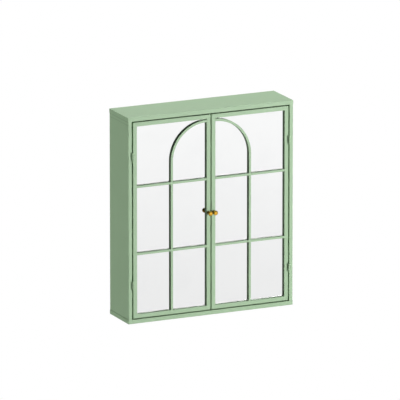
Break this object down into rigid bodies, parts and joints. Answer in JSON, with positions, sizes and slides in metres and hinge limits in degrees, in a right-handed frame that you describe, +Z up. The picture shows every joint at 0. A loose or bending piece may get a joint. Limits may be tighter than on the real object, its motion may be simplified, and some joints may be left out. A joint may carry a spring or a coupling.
{
  "type": "mirrored wall cabinet",
  "caption": "Shallow folded-steel wall cabinet with hinged mirrored doors behind an arched bar grille, ball knobs, shelves and magnetic catches.",
  "frame": {"origin": "middle of the wall plane, at the centre of the four wall fixing holes", "axes": "+X to the right seen from the front, +Y from the doors towards the wall, +Z up"},
  "size_m": [0.6, 0.174, 0.7],
  "materials": {
    "sage_paint": "satin powder coat, pale sage green",
    "mirror_glass": "polished, silvered behind",
    "brass": "polished and lacquered",
    "zinc_steel": "bright zinc plate",
    "black_plastic": "moulded, fine grain",
    "ferrite": "ground, matt",
    "rubber": "matt"
  },
  "bodies": {
    "cabinet": {"back_panel": "sage_paint", "back_rivets": "sage_paint", "bottom_panel": "sage_paint", "catch_housings": "black_plastic", "catch_magnets": "ferrite", "catch_screws": "zinc_steel", "door_stops": "sage_paint", "frame_leaf_rivets": "sage_paint", "hinge_pins": "sage_paint", "left_lower_frame_leaf": "sage_paint", "left_shelf_strips": "sage_paint", "left_side_panel": "sage_paint", "left_upper_frame_leaf": "sage_paint", "lower_shelf": "sage_paint", "lower_shelf_clips": "zinc_steel", "right_lower_frame_leaf": "sage_paint", "right_shelf_strips": "sage_paint", "right_side_panel": "sage_paint", "right_upper_frame_leaf": "sage_paint", "stop_bumpers": "rubber", "top_panel": "sage_paint", "upper_shelf": "sage_paint", "upper_shelf_clips": "zinc_steel", "wall_fixing_plates": "sage_paint"},
    "left_door": {"left_arched_bar": "sage_paint", "left_back_cover": "sage_paint", "left_bottom_rail": "sage_paint", "left_cover_screws": "zinc_steel", "left_door_leaf_rivets": "sage_paint", "left_glazing_strips": "rubber", "left_hinge_stile": "sage_paint", "left_knob": "brass", "left_knob_screw": "zinc_steel", "left_lower_cross_bars": "sage_paint", "left_lower_door_leaf": "sage_paint", "left_meeting_stile": "sage_paint", "left_mirror": "mirror_glass", "left_strike_plate": "zinc_steel", "left_top_rail": "sage_paint", "left_upper_cross_bars": "sage_paint", "left_upper_door_leaf": "sage_paint"},
    "right_door": {"right_arched_bar": "sage_paint", "right_back_cover": "sage_paint", "right_bottom_rail": "sage_paint", "right_cover_screws": "zinc_steel", "right_door_leaf_rivets": "sage_paint", "right_glazing_strips": "rubber", "right_hinge_stile": "sage_paint", "right_knob": "brass", "right_knob_screw": "zinc_steel", "right_lower_cross_bars": "sage_paint", "right_lower_door_leaf": "sage_paint", "right_meeting_stile": "sage_paint", "right_mirror": "mirror_glass", "right_strike_plate": "zinc_steel", "right_top_rail": "sage_paint", "right_upper_cross_bars": "sage_paint", "right_upper_door_leaf": "sage_paint"}
  },
  "joints": [
    {"name": "left_door_hinge", "type": "hinge", "parent": "cabinet", "child": "left_door", "pos_m": [-0.284, -0.1543, 0], "axis": [0, 0, -1], "range_deg": [0, 170]},
    {"name": "right_door_hinge", "type": "hinge", "parent": "cabinet", "child": "right_door", "pos_m": [0.284, -0.1543, 0], "axis": [0, 0, 1], "range_deg": [0, 170]}
  ]
}
